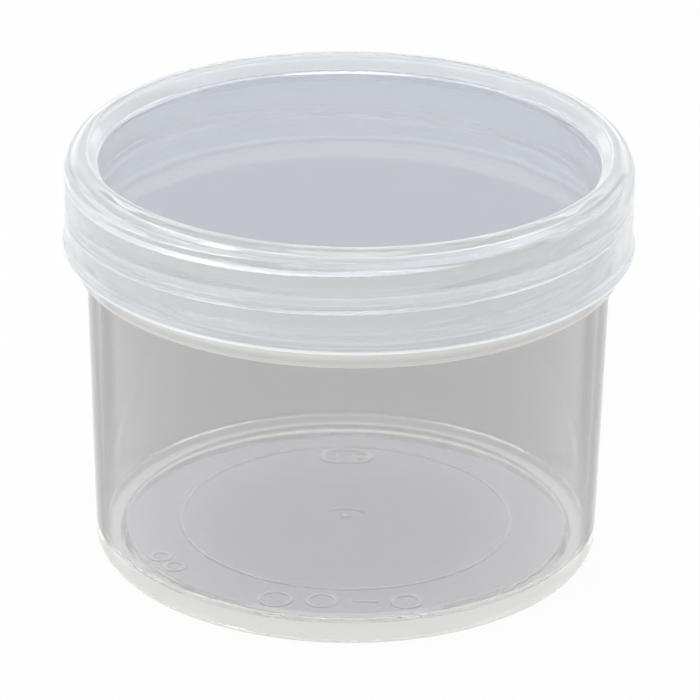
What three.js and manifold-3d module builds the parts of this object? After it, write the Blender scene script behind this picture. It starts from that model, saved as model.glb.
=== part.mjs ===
// Screw-cap sample jar: a low, wide-mouthed, see-through polypropylene jar with its screw lid on.
// Millimetres, +Z up. The origin is the middle of the ring that the jar stands on.
// Two mouldings: jar_body (wall, floor, collar, neck and thread in one) and screw_lid.

import * as THREE from 'three';
import { mergeVertices } from 'three/addons/utils/BufferGeometryUtils.js';
import Module from 'manifold-3d';

// Overall sizes
const overallHeight = 54.5;    // floor to the lid's crest
const lidRadius = 36;          // outside of the lid's skirt
const lidHeight = 13;          // the lid's lower edge to its crest

// Lid
const skirtWall = 1.2;
const panelThickness = 1.2;    // the clear window in the top
const panelRecess = 2;         // how far the window lies below the crest
const rimWidth = 3.1;          // from the skirt's outside to the recess
const recessSlope = 0.9;       // how far the recess narrows towards the window
const crestInset = 2.56;       // from the skirt's outside to the crest of the rim
const shoulderDrop = 3.5;      // height of the rounding outside the crest
const rimEdgeRadius = 0.6;     // rounding on the recess side of the crest
const beadWidth = 0.25;        // how far the lower edge stands proud of the skirt
const beadHeight = 2.1;        // from the lower edge up to where the bead meets the skirt
const beadEdge = 1.05;         // height of the bead's upright face
const lidLipRadius = 0.45;     // rounding under the bead
const lidLeadIn = 0.22;        // bevel inside the lower edge
const grooveStart = 0.1;       // from the neck's outside to where the hollow under the rim begins
const grooveRoof = 1.31;       // thickness of the rim's crest above that hollow
const grooveRadius = 0.29;     // rounding at the hollow's top
const grooveOffset = 0.49;     // from the crest of the rim out to the hollow's top

// Jar
const threadClearance = 0.85;  // from the jar's thread to the inside of the skirt
const threadDepth = 0.95;
const neckWall = 1.15;
const mouthLipRadius = 0.4;
const collarInset = 1.3;       // from the lid's skirt to the collar
const collarHeight = 2.15;
const collarEdge = 0.35;       // chamfer above and below the collar
const shoulderStep = 0.3;      // the body's top is this much wider than the neck
const bodyTaper = 0.9;         // the body narrows by this much, in radius, down to the foot
const bodyWall = 1.3;
const footRadius = 2;          // rounding of the heel
const standWidth = 1.3;        // width of the ring that it stands on
const standSlope = 0.7;        // draft of the ring's inner side
const pushUp = 2.3;            // how far the floor is raised inside that ring
const floorThickness = 1.3;
const floorFillet = 0.5;       // inside corner between wall and floor
const gateRadius = 1.3;        // moulding gate in the middle of the underside
const gateHeight = 0.25;

// Thread on the neck: right-handed, one start
const threadPitch = 4.9;
const threadRootWidth = 2.2;
const threadCrestWidth = 1;
const threadTopGap = 1.4;      // from the mouth to the middle of the thread's top end
const threadBottomGap = 1.15;  // from the collar to the middle of its lower end
const threadEndAngle = 0.6;    // radians from +X where the thread's top end lies
const threadFade = 0.35;       // radians over which each end sinks into the neck
const threadEndShare = 0.3;    // how much of the ridge's depth is left at its very ends
const threadEmbed = 0.4;       // how deep its root is joined into the neck

// Fits between the two mouldings
const seatGap = 0.3;           // mouth to window, and collar to skirt

const segments = 60;           // facets round each moulding
const arcSteps = 3;

const jarColour = 0xc4c2c5;
const lidColour = 0xd6dade;
const jarOpacity = 0.45;
const lidOpacity = 0.5;
const plasticRoughness = 0.18;

// Heights and radii that follow
const lidBottom = overallHeight - lidHeight;
const panelTop = overallHeight - panelRecess;
const panelBottom = panelTop - panelThickness;
const skirtInside = lidRadius - skirtWall;
const mouthTop = panelBottom - seatGap;
const collarTop = lidBottom - seatGap;
const collarBottom = collarTop - collarHeight;
const collarRadius = lidRadius - collarInset;
const threadRadius = skirtInside - threadClearance;
const neckRadius = threadRadius - threadDepth;
const mouthInside = neckRadius - neckWall;
const threadTop = mouthTop - threadTopGap;
const threadTurns = (threadTop - collarTop - threadBottomGap) / threadPitch;
const bodyTopRadius = neckRadius + shoulderStep;
const bodyFootRadius = bodyTopRadius - bodyTaper;
const floorTop = pushUp + floorThickness;
const wellRadius = bodyFootRadius - bodyWall;

const wasm = await Module();
wasm.setup();

// Merged, outward-facing triangles with none collapsed on the axis, as a solid
function toSolid(geometry) {
  const bare = geometry.clone();
  bare.deleteAttribute('normal');
  bare.deleteAttribute('uv');
  const merged = mergeVertices(bare, 1e-4);
  const index = merged.index.array;
  const triVerts = [];
  for (let i = 0; i < index.length; i += 3) {
    const [a, b, c] = [index[i], index[i + 1], index[i + 2]];
    if (a !== b && b !== c && c !== a) triVerts.push(a, b, c);
  }
  const mesh = new wasm.Mesh({
    numProp: 3,
    vertProperties: new Float32Array(merged.attributes.position.array),
    triVerts: new Uint32Array(triVerts),
  });
  return new wasm.Manifold(mesh);
}

function toGeometry(solid) {
  const mesh = solid.getMesh();
  const geometry = new THREE.BufferGeometry();
  geometry.setAttribute('position', new THREE.BufferAttribute(mesh.vertProperties, 3));
  geometry.setIndex(new THREE.BufferAttribute(mesh.triVerts, 1));
  geometry.computeVertexNormals();
  return geometry;
}

// A profile of radius against height, turned about Z; it runs anticlockwise from axis to axis
function turned(path) {
  const geometry = new THREE.LatheGeometry(path.getPoints(arcSteps), segments);
  geometry.rotateX(Math.PI / 2);
  return geometry;
}

// A straight extrusion of the ridge's section wound round the neck, with ends that sink into it
function neckThread() {
  const root = neckRadius - Math.min(threadEmbed, neckWall / 2);
  const section = new THREE.Shape();
  section.moveTo(root, -threadRootWidth / 2);
  section.lineTo(neckRadius, -threadRootWidth / 2);
  section.lineTo(threadRadius, -threadCrestWidth / 2);
  section.lineTo(threadRadius, threadCrestWidth / 2);
  section.lineTo(neckRadius, threadRootWidth / 2);
  section.lineTo(root, threadRootWidth / 2);
  const sweep = threadTurns * 2 * Math.PI;
  const steps = Math.round(threadTurns * segments);
  const ridge = new THREE.ExtrudeGeometry(section, { depth: sweep, steps, bevelEnabled: false });
  const place = ridge.attributes.position;
  for (let i = 0; i < place.count; i++) {
    const along = place.getZ(i);                       // radians down from the top end
    const nearEnd = Math.min(along, sweep - along);
    const swell = Math.min(1, nearEnd / threadFade);
    const share = threadEndShare + (1 - threadEndShare) * swell;
    const radius = root + (place.getX(i) - root) * share;
    const angle = threadEndAngle - along;
    const height = threadTop + place.getY(i) - threadPitch * along / (2 * Math.PI);
    place.setXYZ(i, radius * Math.cos(angle), radius * Math.sin(angle), height);
  }
  return ridge;
}

function jarBody() {
  const quarter = Math.PI / 2;
  const standOuter = bodyFootRadius - footRadius;
  const standInner = standOuter - standWidth;
  const outline = new THREE.Path();
  outline.moveTo(0, pushUp - gateHeight);
  outline.lineTo(gateRadius, pushUp - gateHeight);
  outline.lineTo(gateRadius, pushUp);
  outline.lineTo(standInner - standSlope, pushUp);
  outline.lineTo(standInner, 0);
  outline.lineTo(standOuter, 0);
  outline.absarc(standOuter, footRadius, footRadius, -quarter, 0, false);
  outline.lineTo(bodyTopRadius, collarBottom);
  outline.lineTo(collarRadius - collarEdge, collarBottom);
  outline.lineTo(collarRadius, collarBottom + collarEdge);
  outline.lineTo(collarRadius, collarTop - collarEdge);
  outline.lineTo(collarRadius - collarEdge, collarTop);
  outline.lineTo(neckRadius, collarTop);
  outline.lineTo(neckRadius, mouthTop - mouthLipRadius);
  outline.absarc(neckRadius - mouthLipRadius, mouthTop - mouthLipRadius, mouthLipRadius, 0, quarter, false);
  outline.lineTo(mouthInside + mouthLipRadius, mouthTop);
  outline.absarc(mouthInside + mouthLipRadius, mouthTop - mouthLipRadius, mouthLipRadius,
    quarter, 2 * quarter, false);
  outline.lineTo(wellRadius, floorTop + floorFillet);
  outline.absarc(wellRadius - floorFillet, floorTop + floorFillet, floorFillet, 0, -quarter, true);
  outline.lineTo(0, floorTop);
  return toGeometry(toSolid(turned(outline)).add(toSolid(neckThread())));
}

function screwLid() {
  const quarter = Math.PI / 2;
  const recessRadius = lidRadius - rimWidth;
  const crestRadius = lidRadius - crestInset;
  const beadRadius = lidRadius + beadWidth;
  const shoulder = overallHeight - shoulderDrop;

  // the hollow under the rim rises beside the neck and comes down along the inside of the shoulder
  const hollowTop = overallHeight - grooveRoof;
  const hollowMiddle = crestRadius + grooveOffset;
  const innerWidth = skirtInside - crestRadius;
  const innerRise = shoulderDrop - skirtWall;
  const meeting = Math.acos(Math.min(1, (grooveOffset + grooveRadius) / innerWidth));
  const outline = new THREE.Path();
  outline.moveTo(0, panelBottom);
  outline.lineTo(neckRadius + grooveStart, panelBottom);
  outline.lineTo(hollowMiddle - grooveRadius, hollowTop - grooveRadius);
  outline.absarc(hollowMiddle, hollowTop - grooveRadius, grooveRadius, 2 * quarter, 0, true);
  outline.absellipse(crestRadius, shoulder, innerWidth, innerRise, meeting, 0, true, 0);
  outline.lineTo(skirtInside, lidBottom + lidLipRadius);
  outline.lineTo(skirtInside + lidLeadIn, lidBottom);
  outline.lineTo(beadRadius - lidLipRadius, lidBottom);
  outline.absarc(beadRadius - lidLipRadius, lidBottom + lidLipRadius, lidLipRadius, -quarter, 0, false);
  outline.lineTo(beadRadius, lidBottom + beadEdge);
  outline.lineTo(lidRadius, lidBottom + beadHeight);
  outline.lineTo(lidRadius, shoulder);
  outline.absellipse(crestRadius, shoulder, crestInset, shoulderDrop, 0, quarter, false, 0);
  outline.lineTo(recessRadius + rimEdgeRadius, overallHeight);
  outline.absarc(recessRadius + rimEdgeRadius, overallHeight - rimEdgeRadius, rimEdgeRadius,
    quarter, 2 * quarter, false);
  outline.lineTo(recessRadius - recessSlope, panelTop);
  outline.lineTo(0, panelTop);
  return toGeometry(toSolid(turned(outline)));
}

function plastic(colour, opacity) {
  return new THREE.MeshStandardMaterial({
    color: colour, roughness: plasticRoughness, metalness: 0, transparent: true, opacity,
  });
}

function piece(name, geometry, material) {
  const mesh = new THREE.Mesh(geometry, material);
  mesh.name = name;
  return mesh;
}

const jar = new THREE.Group();
jar.add(piece('jar_body', jarBody(), plastic(jarColour, jarOpacity)));
jar.add(piece('screw_lid', screwLid(), plastic(lidColour, lidOpacity)));

export default jar;
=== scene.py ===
# Screw-cap sample jar: a turned see-through body with a screw thread, and its turned screw lid
import math

import bmesh
import bpy
from mathutils import Euler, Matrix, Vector
from mathutils.geometry import delaunay_2d_cdt


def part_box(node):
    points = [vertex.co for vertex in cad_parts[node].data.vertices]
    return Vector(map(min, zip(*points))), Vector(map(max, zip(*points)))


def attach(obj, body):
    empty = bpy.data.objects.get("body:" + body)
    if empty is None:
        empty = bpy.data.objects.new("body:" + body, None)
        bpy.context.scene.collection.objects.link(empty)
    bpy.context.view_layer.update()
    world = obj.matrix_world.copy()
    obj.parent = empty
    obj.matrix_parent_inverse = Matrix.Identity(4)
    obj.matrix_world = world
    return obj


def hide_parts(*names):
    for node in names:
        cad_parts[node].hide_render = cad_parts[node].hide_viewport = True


mm = 0.001
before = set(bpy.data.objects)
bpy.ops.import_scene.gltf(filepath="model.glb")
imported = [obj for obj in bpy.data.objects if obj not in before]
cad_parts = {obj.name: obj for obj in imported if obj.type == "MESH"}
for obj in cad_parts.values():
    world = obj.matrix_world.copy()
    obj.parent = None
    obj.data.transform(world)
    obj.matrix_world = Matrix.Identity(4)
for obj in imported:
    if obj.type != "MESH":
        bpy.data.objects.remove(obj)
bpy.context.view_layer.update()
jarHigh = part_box("jar_body")[1]
lidLow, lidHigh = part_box("screw_lid")
print("frame loaded:", ", ".join(sorted(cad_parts)))


class Wire:  # one output of a node; sums on it become Math nodes
    def __init__(self, sheet, socket):
        self.sheet = sheet
        self.socket = socket

    def calc(self, operation, *values):
        settings = {"operation": operation}
        return self.sheet.add("ShaderNodeMath", settings, dict(enumerate(values)))

    def __add__(self, other):
        return self.calc("ADD", self, other)

    def __sub__(self, other):
        return self.calc("SUBTRACT", self, other)

    def __rsub__(self, other):
        return self.calc("SUBTRACT", other, self)

    def __mul__(self, other):
        return self.calc("MULTIPLY", self, other)

    def __truediv__(self, other):
        return self.calc("DIVIDE", self, other)

    def __abs__(self):
        return self.calc("ABSOLUTE", self)

    def least(self, other):
        return self.calc("MINIMUM", self, other)

    def most(self, other):
        return self.calc("MAXIMUM", self, other)

    def ramp(self, start, end):  # 0 at start, 1 at end, eased between them
        settings = {"interpolation_type": "SMOOTHSTEP"}
        values = {"Value": self, "From Min": start, "From Max": end}
        return self.sheet.add("ShaderNodeMapRange", settings, values)


class Sheet:  # a node tree that nodes are added to
    def __init__(self, tree):
        self.tree = tree

    def add(self, kind, settings=None, values=None, out=0):
        made = self.tree.nodes.new(kind)
        for name, value in (settings or {}).items():
            setattr(made, name, value)
        for name, value in (values or {}).items():
            self.feed(made.inputs[name], value)
        return Wire(self, made.outputs[out]) if made.outputs else made

    def feed(self, socket, value):
        if isinstance(value, Wire):
            self.tree.links.new(value.socket, socket)
        else:
            socket.default_value = value

    def output(self, wire, name):  # another output of the node that a wire comes from
        return Wire(self, wire.socket.node.outputs[name])


def mixColours(share, first, second):
    values = {0: share, 6: first, 7: second}  # the colour sockets of a Mix node
    return share.sheet.add("ShaderNodeMix", {"data_type": "RGBA"}, values, out=2)


class Outline:  # half a section as radius and height in mm, with where it carries a thread
    def __init__(self, radius, height):
        self.rows = [(radius, height, 0.0)]

    def lineTo(self, radius, height, step=1.6, threaded=0.0, guard=0.1):
        startRadius, startHeight, _ = self.rows[-1]
        length = math.hypot(radius - startRadius, height - startHeight)
        count = max(1, math.ceil(length / step))
        shares = [i / count for i in range(1, count + 1)]
        if length > 5 * guard:  # a short step at each end keeps a flat from shading into its rounding
            shares += [guard / length, 1 - guard / length]
        for share in sorted(set(shares)):
            place = startRadius + (radius - startRadius) * share
            level = startHeight + (height - startHeight) * share
            self.rows.append((place, level, threaded if share < 1 else 0.0))

    def arc(self, radius, height, size, start, end, tall=None, steps=10, threaded=0.0):
        for i in range(1, steps + 1):
            turn = math.radians(start + (end - start) * i / steps)
            rise = (tall or size) * math.sin(turn)
            self.rows.append((radius + size * math.cos(turn), height + rise, threaded))

    def asObject(self, name):  # points only, for the node tree to turn
        mesh = bpy.data.meshes.new(name)
        places = [(radius * mm, 0, height * mm) for radius, height, _ in self.rows]
        mesh.from_pydata(places, [], [])
        flag = mesh.attributes.new("threaded", "FLOAT", "POINT")
        flag.data.foreach_set("value", [row[2] for row in self.rows])
        piece = bpy.data.objects.new(name, mesh)
        bpy.context.scene.collection.objects.link(piece)
        return piece


turnInputs = {  # the kind of each input and the value it starts with
    "Outline": ("NodeSocketGeometry", None),
    "Segments": ("NodeSocketInt", 256),
    "Thread Pitch": ("NodeSocketFloat", 4.9 * mm),
    "Thread Depth": ("NodeSocketFloat", 1 * mm),
    "Crest Width": ("NodeSocketFloat", 1 * mm),
    "Upper Flank": ("NodeSocketFloat", 0.6 * mm),
    "Lower Flank": ("NodeSocketFloat", 0.6 * mm),
    "Top Height": ("NodeSocketFloat", 50 * mm),
    "Top Angle": ("NodeSocketFloat", 0.6),
    "Turns": ("NodeSocketFloat", 1.3),
    "Fade Angle": ("NodeSocketFloat", 0.3),
    "Material": ("NodeSocketMaterial", None),
}


def turningTree():
    tree = bpy.data.node_groups.new("turnOutline", "GeometryNodeTree")
    for name, (kind, value) in turnInputs.items():
        socket = tree.interface.new_socket(name, in_out="INPUT", socket_type=kind)
        if value is not None:
            socket.default_value = value
    tree.interface.new_socket("Turned", in_out="OUTPUT", socket_type="NodeSocketGeometry")
    sheet = Sheet(tree)
    given = sheet.add("NodeGroupInput")
    size = {name: sheet.output(given, name) for name in turnInputs}

    rowCount = sheet.add("GeometryNodeAttributeDomainSize", {"component": "MESH"},
                         {"Geometry": size["Outline"]})
    grid = sheet.add("GeometryNodeMeshGrid", None,
                     {"Vertices X": size["Segments"] + 1, "Vertices Y": rowCount})
    index = sheet.add("GeometryNodeInputIndex")
    row = index.calc("FLOORED_MODULO", index, rowCount)
    column = index.calc("FLOOR", (index + 0.5) / rowCount)
    angle = column / size["Segments"] * math.tau
    place = sheet.add("GeometryNodeSampleIndex", {"data_type": "FLOAT_VECTOR"},
                      {"Geometry": size["Outline"], "Value": sheet.add("GeometryNodeInputPosition"),
                       "Index": row})
    flag = sheet.add("GeometryNodeInputNamedAttribute", {"data_type": "FLOAT"}, {"Name": "threaded"})
    threaded = sheet.add("GeometryNodeSampleIndex", {"data_type": "FLOAT"},
                         {"Geometry": size["Outline"], "Value": flag, "Index": row})
    parts = sheet.add("ShaderNodeSeparateXYZ", None, {"Vector": place})
    radius, height = sheet.output(parts, "X"), sheet.output(parts, "Z")

    # the ridge runs down from its top end, clockwise seen from above, so that it is right-handed
    firstTurn = angle.calc("FLOORED_MODULO", size["Top Angle"] - angle, math.tau)
    sweep = size["Turns"] * math.tau
    ridge = None
    for turn in range(2):
        along = firstTurn + turn * math.tau
        middle = size["Top Height"] - size["Thread Pitch"] * along / math.tau
        halfCrest = size["Crest Width"] * 0.5
        above = (height - middle).ramp(halfCrest + size["Upper Flank"], halfCrest)
        below = (middle - height).ramp(halfCrest + size["Lower Flank"], halfCrest)
        started = along.ramp(0.0, size["Fade Angle"])
        unfinished = along.ramp(sweep, sweep - size["Fade Angle"])
        share = above * below * started * unfinished
        ridge = share if ridge is None else ridge.most(share)
    proud = ridge * abs(threaded)
    out = radius + ridge * threaded * size["Thread Depth"]
    moved = sheet.add("ShaderNodeCombineXYZ", None, {
        "X": out * out.calc("COSINE", angle), "Y": out * out.calc("SINE", angle), "Z": height})
    turned = sheet.add("GeometryNodeSetPosition", None, {"Geometry": grid, "Position": moved})
    turned = sheet.add("GeometryNodeStoreNamedAttribute", {"data_type": "FLOAT", "domain": "POINT"},
                       {"Geometry": turned, "Name": "ridge", "Value": proud})
    turned = sheet.add("GeometryNodeMergeByDistance", None, {"Geometry": turned, "Distance": 1e-6})
    turned = sheet.add("GeometryNodeSetShadeSmooth", None, {"Geometry": turned})
    turned = sheet.add("GeometryNodeRealizeInstances", None, {"Geometry": turned})
    turned = sheet.add("GeometryNodeSetMaterial", None,
                       {"Geometry": turned, "Material": size["Material"]})
    result = sheet.add("NodeGroupOutput")
    sheet.feed(result.inputs["Turned"], turned)
    return tree


def turn(outline, name, tree, size, material):
    values = {**size["thread"], "Segments": size["segments"], "Material": material}
    piece = outline.asObject(name)
    modifier = piece.modifiers.new("turn", "NODES")
    modifier.node_group = tree
    sockets = {item.name: item.identifier for item in tree.interface.items_tree
               if item.item_type == "SOCKET" and item.in_out == "INPUT"}
    for key, value in values.items():
        modifier[sockets[key]] = value
    graph = bpy.context.evaluated_depsgraph_get()
    plain = bpy.data.meshes.new_from_object(piece.evaluated_get(graph))
    plain.materials.clear()  # only the piece's own material, in its first slot
    plain.materials.append(material)
    piece.modifiers.clear()
    piece.data = plain
    return piece


def circle(x, y, radius, count=40):
    turns = [math.tau * i / count for i in range(count)]
    return [(x + radius * math.cos(turn), y + radius * math.sin(turn)) for turn in turns]


def capsule(x, y, width, depth, count=12):  # a slot with round ends, lying along X
    radius = depth / 2
    half = width / 2 - radius
    loop = []
    for side in (1, -1):
        for i in range(count + 1):
            turn = math.pi * (i / count - 0.5) + (0 if side == 1 else math.pi)
            loop.append((x + side * half + radius * math.cos(turn), y + radius * math.sin(turn)))
    return loop


def crescent(x, y, radius, width, count=24):  # an arch that is widest in its middle
    first, sweep, tip = 0.08, 0.84, 0.05  # half turns, half turns, mm
    outer, inner = [], []
    for i in range(count + 1):
        turn = math.pi * (first + sweep * i / count)
        hollow = radius - width * math.sin(math.pi * i / count) - tip
        outer.append((x + radius * math.cos(turn), y + radius * math.sin(turn)))
        inner.append((x + hollow * math.cos(turn), y + hollow * math.sin(turn)))
    return outer + inner[::-1]


def markLoops(marks):  # each outline with 1 where it raises its inside and -1 where it lowers it again
    loops = []
    for shape, line, x, y, *sizes in marks:
        loops.append((shape(x, y, *sizes), 1))
        if line:
            narrowing = line if shape is circle else 2 * line  # a circle's size is its radius
            loops.append((shape(x, y, *(value - narrowing for value in sizes)), -1))
    return loops


def underside(size):  # the raised floor's lower face, with its marks standing down
    edge = circle(0, 0, size["undersideRadius"], size["segments"])
    loops = markLoops(size["marks"])
    points, faces, signs = [], [], []
    for loop, sign in [(edge, 0)] + loops:
        faces.append(list(range(len(points), len(points) + len(loop))))
        points += [Vector(point) for point in loop]
        signs.append(sign)
    insideOnly, tolerance = 1, 1e-4
    found = delaunay_2d_cdt(points, [], faces, insideOnly, tolerance)
    mesh = bmesh.new()
    made = {}

    def corner(index, raised):
        if (index, raised) not in made:
            level = size["pushUp"] - (size["markDepth"] if raised else 0)
            place = found[0][index]
            made[index, raised] = mesh.verts.new((place.x * mm, place.y * mm, level * mm))
        return made[index, raised]

    borders = {}
    for face, owners in zip(found[2], found[5]):
        raised = sum(signs[owner] for owner in owners) > 0
        mesh.faces.new([corner(index, raised) for index in face])
        for a, b in zip(face, face[1:] + face[:1]):
            borders.setdefault(frozenset((a, b)), set()).add(raised)
    for border, sides in borders.items():
        if len(sides) == 2:
            a, b = border
            mesh.faces.new([corner(a, False), corner(b, False), corner(b, True), corner(a, True)])
    for face in mesh.faces:
        face.smooth = True
    return mesh


def close(piece, sharpAngle, extra=None):  # one closed skin with its faces pointing out
    mesh = bmesh.new()
    mesh.from_mesh(piece.data)
    if extra:
        patch = bpy.data.meshes.new("patch")
        extra.to_mesh(patch)
        mesh.from_mesh(patch)
    weld = 0.001 * mm
    bmesh.ops.remove_doubles(mesh, verts=mesh.verts, dist=weld)
    bmesh.ops.recalc_face_normals(mesh, faces=mesh.faces)
    for face in mesh.faces:
        face.material_index = 0
    openEdges = sum(1 for edge in mesh.edges if not edge.is_manifold)
    volume = mesh.calc_volume(signed=True) * 1e6  # cubic metres to cubic centimetres
    mesh.to_mesh(piece.data)
    mesh.free()
    piece.data.set_sharp_from_angle(angle=math.radians(sharpAngle))
    print(f"{piece.name}: {len(piece.data.polygons)} faces, {openEdges} open edges, {volume:.2f} cubic cm")


seatGap = 0.3  # mm between the collar and the lid's lower edge
sharpAngle = 40  # degrees past which an edge isn't shaded smooth

jar = {  # mm; heights from the surface it stands on
    "footRadius": 32.4, "bodyTopRadius": 33.3, "neckRadius": 33.0, "neckInside": 31.85,
    "collarRadius": jarHigh.x / mm, "collarTop": lidLow.z / mm - seatGap, "collarHeight": 2.15,
    "collarEdge": 0.35, "mouthTop": jarHigh.z / mm, "lipRadius": 0.4, "heelRadius": 2.0,
    "standInside": 29.05, "standEdge": 0.2, "undersideRadius": 28.4, "pushUp": 2.3,
    "floorTop": 3.6, "floorFillet": 0.5, "wellRadius": 31.1, "rootFillet": 0.2,
    "segments": 256,
    "thread": {  # right-handed; the height is to the ridge's middle, and the angles are in radians
        "Thread Pitch": 4.9 * mm, "Thread Depth": 0.95 * mm, "Crest Width": 0.6 * mm,
        "Upper Flank": 0.65 * mm, "Lower Flank": 0.65 * mm, "Top Height": 49.6 * mm,
        "Top Angle": 0.6, "Turns": 1.48, "Fade Angle": 0.35,
    },
    "markDepth": 0.2,
    "marks": [  # shape, width of its line or 0 for a solid one, its middle's x and y, its sizes
        (circle, 0.4, 0, 0, 21.6),
        (circle, 0.6, -23.3, -12.6, 1.5),
        (circle, 0.6, -21.4, -15.4, 1.5),
        (capsule, 0.7, 0, 18.5, 7.4, 4.6),
        (circle, 0.4, -2.1, 18.5, 1.1),
        (circle, 0.4, 2.1, 18.5, 1.1),
        (circle, 0.5, -8.6, -24.3, 2.2),
        (circle, 0.5, -2.9, -24.6, 2.0),
        (capsule, 0, 2.6, -24.6, 3.2, 0.6),
        (circle, 0.5, 7.6, -24.6, 2.0),
        (crescent, 0, 0, 0.4, 2.4, 0.9),
        (circle, 0, 0, 0, 0.6),
    ],
}


def jarOutline(size):
    collarBottom = size["collarTop"] - size["collarHeight"]
    stand = size["footRadius"] - size["heelRadius"]
    edge, fillet, lip = size["collarEdge"], size["rootFillet"], size["lipRadius"]
    neck, collar, body = size["neckRadius"], size["collarRadius"], size["bodyTopRadius"]
    rounding, mouth, inside = size["standEdge"], size["mouthTop"], size["neckInside"]
    corner, floor, well = size["floorFillet"], size["floorTop"], size["wellRadius"]
    line = Outline(size["undersideRadius"], size["pushUp"])
    line.lineTo(size["standInside"], rounding)
    line.arc(size["standInside"] + rounding, rounding, rounding, 180, 270, steps=4)
    line.lineTo(stand, 0)
    line.arc(stand, size["heelRadius"], size["heelRadius"], -90, 0, steps=14)
    line.lineTo(body, collarBottom - fillet)
    line.arc(body + fillet, collarBottom - fillet, fillet, 180, 90, steps=4)
    line.lineTo(collar - edge, collarBottom)
    line.arc(collar - edge, collarBottom + edge, edge, -90, 0, steps=6)
    line.lineTo(collar, size["collarTop"] - edge)
    line.arc(collar - edge, size["collarTop"] - edge, edge, 0, 90, steps=6)
    line.lineTo(neck + fillet, size["collarTop"])
    line.arc(neck + fillet, size["collarTop"] + fillet, fillet, 270, 180, steps=4)
    line.lineTo(neck, mouth - lip, step=0.05, threaded=1.0)
    line.arc(neck - lip, mouth - lip, lip, 0, 90, steps=6)
    line.lineTo(inside + lip, mouth)
    line.arc(inside + lip, mouth - lip, lip, 90, 180, steps=6)
    line.lineTo(well, floor + corner)
    line.arc(well - corner, floor + corner, corner, 0, -90, steps=8)
    line.lineTo(0, floor, step=3)
    return line


lid = {  # mm
    "radius": 36.0, "beadRadius": lidHigh.x / mm, "top": lidHigh.z / mm, "bottom": lidLow.z / mm,
    "skirtInside": 34.8, "windowTop": 52.5, "windowUnder": 51.3, "crestRadius": 33.44,
    "shoulderDrop": 3.5, "recessRadius": 32.9, "rimEdge": 0.6, "windowRadius": 32.0,
    "windowFillet": 0.35, "grooveFoot": 33.1, "grooveLead": 0.15, "grooveStep": 0.1,
    "grooveMiddle": 33.93, "grooveRound": 0.29, "grooveTop": 53.19, "grooveRise": 2.3,
    "beadHeight": 2.1, "beadEdge": 1.05, "lip": 0.45, "innerLip": 0.22, "segments": 256,
    "thread": {  # as on the neck, but standing inwards, with a long slope above its crest
        "Thread Pitch": 4.9 * mm, "Thread Depth": 1.1 * mm, "Crest Width": 0.3 * mm,
        "Upper Flank": 1.8 * mm, "Lower Flank": 0.3 * mm, "Top Height": 52.1 * mm,
        "Top Angle": math.radians(-62), "Turns": 1.8, "Fade Angle": 0.5,
    },
}


def lidOutline(size):
    lip, innerLip, fillet = size["lip"], size["innerLip"], size["windowFillet"]
    inside, outside, bead = size["skirtInside"], size["radius"], size["beadRadius"]
    top, bottom, crest = size["top"], size["bottom"], size["crestRadius"]
    shoulder, drop = top - size["shoulderDrop"], size["shoulderDrop"]
    groove, middle, grooveTop = size["grooveRound"], size["grooveMiddle"], size["grooveTop"]
    recess, rimEdge, window = size["recessRadius"], size["rimEdge"], size["windowRadius"]
    under, foot = size["windowUnder"], size["grooveFoot"]
    line = Outline(0, under)
    line.lineTo(foot - size["grooveLead"], under, step=3)
    line.lineTo(foot, under + size["grooveStep"])
    line.lineTo(middle - groove, grooveTop - groove)
    line.arc(middle, grooveTop - groove, groove, 180, 0, steps=10)
    width = inside - crest
    first = math.degrees(math.acos((middle + groove - crest) / width))
    line.arc(crest, shoulder, width, first, 0, tall=size["grooveRise"], steps=40, threaded=-1.0)
    line.lineTo(inside, bottom + innerLip, step=0.05, threaded=-1.0)
    line.arc(inside + innerLip, bottom + innerLip, innerLip, 180, 270, steps=4)
    line.lineTo(bead - lip, bottom)
    line.arc(bead - lip, bottom + lip, lip, -90, 0, steps=8)
    line.lineTo(bead, bottom + size["beadEdge"])
    line.lineTo(outside, bottom + size["beadHeight"])
    line.lineTo(outside, shoulder)
    line.arc(crest, shoulder, outside - crest, 0, 90, tall=drop, steps=16)
    line.lineTo(recess + rimEdge, top)
    line.arc(recess + rimEdge, top - rimEdge, rimEdge, 90, 180, steps=8)
    line.lineTo(window, size["windowTop"] + fillet)
    line.arc(window - fillet, size["windowTop"] + fillet, fillet, 0, -90, steps=4)
    line.lineTo(0, size["windowTop"], step=3)
    return line


class Place:  # where a point of a piece lies, in mm, for its material
    def __init__(self, sheet):
        point = sheet.add("ShaderNodeTexCoord", out="Object")
        parts = sheet.add("ShaderNodeSeparateXYZ", None, {"Vector": point})
        across = sheet.output(parts, "X") / mm
        deep = sheet.output(parts, "Y") / mm
        self.point = point
        self.height = sheet.output(parts, "Z") / mm
        self.radius = across.calc("SQRT", across * across + deep * deep)
        self.ridge = sheet.add("ShaderNodeAttribute", {"attribute_name": "ridge"}, out="Fac")
        self.facing = sheet.add("ShaderNodeLayerWeight", None, {"Blend": 0.5}, out="Facing")

    def belt(self, low, high, soft):  # 1 between two heights, fading past them
        return self.height.ramp(low - soft, low) * self.height.ramp(high + soft, high)

    def noise(self, spacing, detail=1.0):  # uneven, from 0 to 1, with patches about this many mm apart
        values = {"Vector": self.point, "Scale": 1 / (spacing * mm), "Detail": detail}
        return self.point.sheet.add("ShaderNodeTexNoise", None, values, out="Fac")


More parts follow.
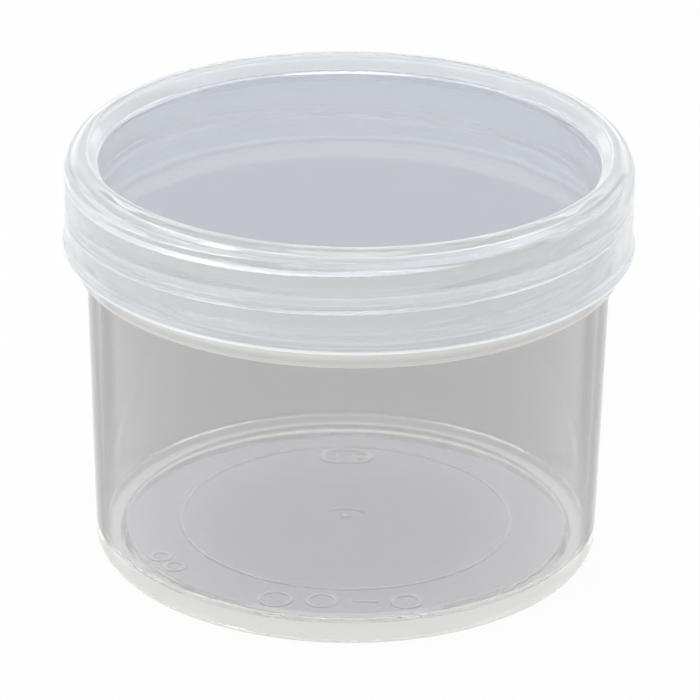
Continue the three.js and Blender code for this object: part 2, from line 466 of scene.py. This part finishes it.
def seeThrough(name, look, tinting, clouding, dulling, waving):
    material = bpy.data.materials.new(name)
    material.use_nodes = True
    material.node_tree.nodes.clear()
    sheet = Sheet(material.node_tree)
    place = Place(sheet)
    waves = sheet.add("ShaderNodeBump", None, {"Height": waving(place, look), "Distance": mm})
    streaks = (place.noise(look["streakSpacing"], look["streakDetail"]) - 0.5) * look["streaks"] + 1.0
    clear = sheet.add("ShaderNodeBsdfPrincipled", None, {
        "Base Color": tinting(place, look), "Roughness": dulling(place, look) * streaks,
        "IOR": look["ior"], "Transmission Weight": 1.0, "Normal": waves,
        "Coat Weight": look["coat"], "Coat Roughness": look["coatRoughness"]})
    inner = sheet.add("ShaderNodeBsdfTranslucent", None, {"Color": look["milk"]})
    outer = sheet.add("ShaderNodeBsdfDiffuse", None, {"Color": look["milk"]})
    milky = sheet.add("ShaderNodeMixShader", None, {0: 0.5, 1: outer, 2: inner})
    plastic = sheet.add("ShaderNodeMixShader", None, {0: clouding(place, look), 1: clear, 2: milky})
    passing = sheet.add("ShaderNodeBsdfTransparent", None, {"Color": look["passing"]})
    rays = sheet.add("ShaderNodeLightPath")  # shadow and diffuse rays go straight through
    isDiffuse, isShadow = sheet.output(rays, "Is Diffuse Ray"), sheet.output(rays, "Is Shadow Ray")
    lit = sheet.add("ShaderNodeMixShader", None, {0: isDiffuse, 1: plastic, 2: passing})
    surface = sheet.add("ShaderNodeMixShader", None, {0: isShadow, 1: lit, 2: passing})
    sheet.add("ShaderNodeOutputMaterial", None, {"Surface": surface})
    return material


# In a look, a pair is a height, radius or slant where a zone starts and where it is full. Three
# numbers are a belt's lower and upper height and how far it fades. Milk is a share of white scattering.
jarLook = {
    "tint": (0.65, 0.645, 0.65, 1), "sideTint": (0.71, 0.70, 0.71, 1), "sideSlant": (0.1, 0.6),
    "edgeTint": (0.1, 0.1, 0.1, 1), "edgeSlant": (0.66, 0.8), "edgeHeight": (40.0, 39.0),
    "neckTint": (0.90, 0.90, 0.92, 1), "neckTintHeight": (39.2, 41.4),
    "heelTint": (0.54, 0.54, 0.495, 1), "ringTint": (0.92, 0.91, 0.83, 1),
    "footHeight": (3.9, 3.5), "ringRadius": (30.2, 29.8),
    "floorTint": (1.0, 1.0, 1.0, 1), "floorHeight": (4.4, 3.6), "floorRadius": (31.2, 30.6),
    # painted shade: the underside's plain face is darkened as a share of the shade under the jar, and the
    # marks stay clear so they read lighter
    "undersideShadeTint": (0.70, 0.70, 0.71, 1), "undersideShadeBelt": (2.24, 2.4, 0.04), "undersideShadeRadius": (28.4, 28.2),
    "roughness": 0.04, "neckRoughness": 0.12, "neckDullHeight": (38.4, 39.4),
    "coat": 0.0, "coatRoughness": 0.03, "ior": 1.49, "passing": (0.97, 0.97, 0.97, 1),
    "milk": (0.94, 0.94, 0.9, 1), "thinMilk": 0.02, "ridgeMilk": 0.3,
    "lipMilk": 0.15, "lipHeight": (50.3, 50.7), "neckMilk": 0.18, "neckHeight": (39.4, 41.2),
    "collarMilk": 0.35, "collarBelt": (39.3, 41.3, 0.2), "collarRadius": (33.4, 33.8),
    "hemMilk": 0.45, "hemBelt": (39.3, 39.7, 0.1), "hemRadius": (33.5, 33.8),
    "innerBeltMilk": 0.5, "innerBelt": (39.6, 41.0, 0.3), "innerBeltRadius": (32.2, 32.0),
    "heelMilk": 0.1, "heelHeight": (3.2, 2.9), "heelRadius": (30.0, 30.6),
    "markMilk": 0.3, "markHeight": (2.25, 2.15), "markRadius": (28.2, 28.0),
    "waveSpacing": 15, "waveDepth": 0.03, "streakSpacing": 4, "streakDetail": 3.0, "streaks": 0.6,
}


def jarWaving(place, look):
    return place.noise(look["waveSpacing"]) * look["waveDepth"]


def jarTinting(place, look):
    walls = mixColours(place.facing.ramp(*look["sideSlant"]), look["tint"], look["sideTint"])
    walls = mixColours(place.height.ramp(*look["neckTintHeight"]), walls, look["neckTint"])
    edge = place.facing.ramp(*look["edgeSlant"]) * place.height.ramp(*look["edgeHeight"])
    walls = mixColours(edge, walls, look["edgeTint"])
    foot = mixColours(place.radius.ramp(*look["ringRadius"]), look["heelTint"], look["ringTint"])
    walls = mixColours(place.height.ramp(*look["footHeight"]), walls, foot)
    # painted shade on the underside's plain face, a share of the shade under the jar; the marks below it are
    # left out
    under = place.belt(*look["undersideShadeBelt"]) * place.radius.ramp(*look["undersideShadeRadius"])
    base = mixColours(under, look["floorTint"], look["undersideShadeTint"])
    inner = place.height.ramp(*look["floorHeight"]) * place.radius.ramp(*look["floorRadius"])
    return mixColours(inner, walls, base)


def jarDulling(place, look):
    neck = place.height.ramp(*look["neckDullHeight"])
    return neck * look["neckRoughness"] + (1 - neck) * look["roughness"]


def jarClouding(place, look):  # the cloudiest of all zones that a point lies in
    heel = place.height.ramp(*look["heelHeight"]) * place.radius.ramp(*look["heelRadius"])
    marking = place.height.ramp(*look["markHeight"]) * place.radius.ramp(*look["markRadius"])
    lip = place.height.ramp(*look["lipHeight"])
    collar = place.belt(*look["collarBelt"]) * place.radius.ramp(*look["collarRadius"])
    hem = place.belt(*look["hemBelt"]) * place.radius.ramp(*look["hemRadius"])
    neck = place.height.ramp(*look["neckHeight"])
    inner = place.belt(*look["innerBelt"]) * place.radius.ramp(*look["innerBeltRadius"])
    cloud = (heel * look["heelMilk"]).most(lip * look["lipMilk"]).most(marking * look["markMilk"])
    cloud = cloud.most(collar * look["collarMilk"]).most(hem * look["hemMilk"])
    cloud = cloud.most(place.ridge * look["ridgeMilk"]).most(inner * look["innerBeltMilk"])
    return cloud.most(look["thinMilk"]).most(neck * look["neckMilk"])


lidLook = {
    "tint": (0.84, 0.85, 0.87, 1), "windowTint": (0.62, 0.66, 0.737, 1),
    "windowHeight": (51.0, 51.3), "windowRadius": (33.0, 32.4),
    "roughness": 0.07, "windowRoughness": 0.04, "coat": 0.3, "coatRoughness": 0.03,
    "ior": 1.49, "passing": (0.97, 0.97, 0.97, 1),
    "milk": (0.92, 0.95, 0.97, 1), "thinMilk": 0.15, "windowMilk": 0.02, "ridgeMilk": 0.2,
    "thickMilk": 0.35, "rimHeight": (52.6, 53.6), "beadHeight": (43.6, 42.6),
    "lipMilk": 0.85, "lipHeight": (42.2, 42.0), "lipRadius": (35.2, 35.6),
    "recessMilk": 0.6, "recessHeight": (52.45, 52.6), "recessRadius": (33.5, 33.0),
    "waveSpacing": 15, "waveDepth": 0.12, "waveRadius": (32.2, 31.6),
    "streakSpacing": 4, "streakDetail": 3.0, "streaks": 0.6,
}


def windowZone(place, look):
    return place.height.ramp(*look["windowHeight"]) * place.radius.ramp(*look["windowRadius"])


def lidWaving(place, look):  # only the window is uneven
    window = place.height.ramp(*look["windowHeight"]) * place.radius.ramp(*look["waveRadius"])
    return place.noise(look["waveSpacing"]) * (window * look["waveDepth"])


def lidTinting(place, look):
    return mixColours(windowZone(place, look), look["tint"], look["windowTint"])


def lidDulling(place, look):
    window = windowZone(place, look)
    return window * look["windowRoughness"] + (1 - window) * look["roughness"]


def lidClouding(place, look):
    window = windowZone(place, look)
    thick = place.height.ramp(*look["rimHeight"]).most(place.height.ramp(*look["beadHeight"]))
    recess = place.height.ramp(*look["recessHeight"]) * place.radius.ramp(*look["recessRadius"])
    lip = place.height.ramp(*look["lipHeight"]) * place.radius.ramp(*look["lipRadius"])
    cloud = (thick * look["thickMilk"]).most(lip * look["lipMilk"])
    cloud = cloud.most(place.ridge * look["ridgeMilk"]).most(recess * look["recessMilk"])
    return cloud.most((1 - window) * look["thinMilk"]).most(window * look["windowMilk"])


jarPlastic = seeThrough("jarPlastic", jarLook, jarTinting, jarClouding, jarDulling, jarWaving)
lidPlastic = seeThrough("lidPlastic", lidLook, lidTinting, lidClouding, lidDulling, lidWaving)
print("plastics ready:", jarPlastic.name, lidPlastic.name)

tree = turningTree()
jarPiece = turn(jarOutline(jar), "jarBody", tree, jar, jarPlastic)
close(jarPiece, sharpAngle, underside(jar))
lidPiece = turn(lidOutline(lid), "screwLid", tree, lid, lidPlastic)
close(lidPiece, sharpAngle)

for piece, body, node, slot in ((jarPiece, "jar", "jar_body", "jar_plastic"),
                                (lidPiece, "lid", "screw_lid", "lid_plastic")):
    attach(piece, body)
    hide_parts(node)
print("pieces ride on the jar and the lid")

room = {  # metres, and mm from the jar's axis for the reaches of the shade and of the lit floor
    "floorSize": 6.0, "floorDrop": 0.05 * mm, "floorColour": (0.9, 0.9, 0.9, 1), "glow": 0.8,
    "farReach": (300, 800), "light": 0.4, "seen": 1.0, "white": (1, 1, 1, 1),
    "darkShade": (0.875, 0.88, 0.925, 1), "lightShade": (0.97, 0.97, 1.0, 1),
    "shadeFade": (10, 27), "shadeReach": (36, 33),
}


def seenRays(sheet):  # camera, glossy and transmission rays
    rays = sheet.add("ShaderNodeLightPath")
    seen = sheet.output(rays, "Is Camera Ray") + sheet.output(rays, "Is Glossy Ray")
    return (seen + sheet.output(rays, "Is Transmission Ray")).least(1.0)


def makeFloor(size):
    mesh = bpy.data.meshes.new("floor")
    half = size["floorSize"] / 2
    corners = [(-half, -half), (half, -half), (half, half), (-half, half)]
    mesh.from_pydata([(x, y, -size["floorDrop"]) for x, y in corners], [], [(0, 1, 2, 3)])
    floor = bpy.data.objects.new("floor", mesh)
    bpy.context.scene.collection.objects.link(floor)
    material = bpy.data.materials.new("paleFloor")
    material.use_nodes = True
    material.node_tree.nodes.clear()
    sheet = Sheet(material.node_tree)
    lit = sheet.add("ShaderNodeBsdfDiffuse", None, {"Color": size["floorColour"]})
    rays = sheet.add("ShaderNodeLightPath")
    place = Place(sheet)
    # the shade that milky plastic throws under itself, for what is seen through the jar
    fade = place.radius.ramp(*size["shadeFade"])
    shade = mixColours(fade, size["darkShade"], size["lightShade"])
    under = place.radius.ramp(*size["shadeReach"])
    through = sheet.output(rays, "Is Transmission Ray")
    colour = mixColours(under * through, size["white"], shade)
    glow = sheet.add("ShaderNodeEmission", None, {"Color": colour, "Strength": 1.0})
    far = place.radius.ramp(*size["farReach"])  # past the lamps the floor is plain white
    direct = sheet.output(rays, "Is Camera Ray") * (far * (1 - size["glow"]) + size["glow"])
    share = (direct + (sheet.output(rays, "Is Glossy Ray") + through)).least(1.0)
    surface = sheet.add("ShaderNodeMixShader", None, {0: share, 1: lit, 2: glow})
    sheet.add("ShaderNodeOutputMaterial", None, {"Surface": surface})
    mesh.materials.append(material)


def makeWorld(size):
    world = bpy.data.worlds.new("whiteRoom")
    bpy.context.scene.world = world
    world.use_nodes = True
    world.node_tree.nodes.clear()
    sheet = Sheet(world.node_tree)
    strength = seenRays(sheet) * (size["seen"] - size["light"]) + size["light"]
    white = sheet.add("ShaderNodeBackground", None, {"Color": size["white"], "Strength": strength})
    sheet.add("ShaderNodeOutputWorld", None, {"Surface": white})


def softBox(name, size):
    lamp = bpy.data.lights.new(name, "AREA")
    lamp.shape = "RECTANGLE"
    lamp.size, lamp.size_y = size["width"], size["tall"]
    lamp.energy = size["watts"]
    box = bpy.data.objects.new(name, lamp)
    turn, rise = math.radians(size["azimuth"]), math.radians(size["elevation"])
    aim = Vector((math.sin(turn) * math.cos(rise), -math.cos(turn) * math.cos(rise), math.sin(rise)))
    target = Vector((0, 0, jarHigh.z / 2))
    box.location = target + aim * size["distance"]
    box.rotation_euler = aim.to_track_quat("Z", "Y").to_euler()
    bpy.context.scene.collection.objects.link(box)


lamps = {  # degrees round from the front and up, metres, watts
    "keyLamp": {"azimuth": -62, "elevation": 45, "distance": 1.0, "width": 0.2, "tall": 0.2, "watts": 1.9},
    "topBox": {"azimuth": 0, "elevation": 84, "distance": 1.0, "width": 0.45, "tall": 0.45, "watts": 2.6},
    "backBox": {"azimuth": 180, "elevation": 48, "distance": 1.2, "width": 1.0, "tall": 0.4, "watts": 3.2},
    "leftBox": {"azimuth": -80, "elevation": 36, "distance": 1.0, "width": 0.4, "tall": 0.4, "watts": 0.8},
    "lowBack": {"azimuth": 180, "elevation": 9, "distance": 1.2, "width": 1.6, "tall": 0.3, "watts": 1.8},
    "lowLeft": {"azimuth": -110, "elevation": 9, "distance": 1.2, "width": 1.2, "tall": 0.3, "watts": 1.4},
    "lowRight": {"azimuth": 110, "elevation": 9, "distance": 1.2, "width": 1.2, "tall": 0.3, "watts": 1.4},
    "rightBox": {"azimuth": 82, "elevation": 36, "distance": 1.0, "width": 0.45, "tall": 0.45, "watts": 1.2},
}
for name, size in lamps.items():
    softBox(name, size)
makeFloor(room)
makeWorld(room)


view = {  # metres, degrees of roll, and mm for the lens and its sensor
    "place": (0, -0.54899, 0.27048), "target": (0.0003, 0, 0.0262), "roll": 0.66,
    "lens": 240.9, "sensor": 36, "near": 0.01, "far": 20,
}


def makeCamera(size):
    lens = bpy.data.cameras.new("camera")
    lens.lens, lens.sensor_width = size["lens"], size["sensor"]
    lens.clip_start, lens.clip_end = size["near"], size["far"]
    camera = bpy.data.objects.new("camera", lens)
    camera.location = size["place"]
    aim = Vector(size["target"]) - camera.location
    roll = Euler((0, 0, math.radians(size["roll"]))).to_quaternion()
    camera.rotation_euler = (aim.to_track_quat("-Z", "Y") @ roll).to_euler()
    bpy.context.scene.collection.objects.link(camera)
    bpy.context.scene.camera = camera


makeCamera(view)
bounces, clearBounces = 64, 32  # a ray crosses many walls and turns back between them
scene = bpy.context.scene
scene.view_settings.view_transform = "Standard"
scene.cycles.caustics_reflective = False
scene.cycles.caustics_refractive = False
scene.cycles.max_bounces = bounces
scene.cycles.transmission_bounces = bounces
scene.cycles.glossy_bounces = bounces
scene.cycles.transparent_max_bounces = clearBounces
print("camera, lamps, floor and world are in place")
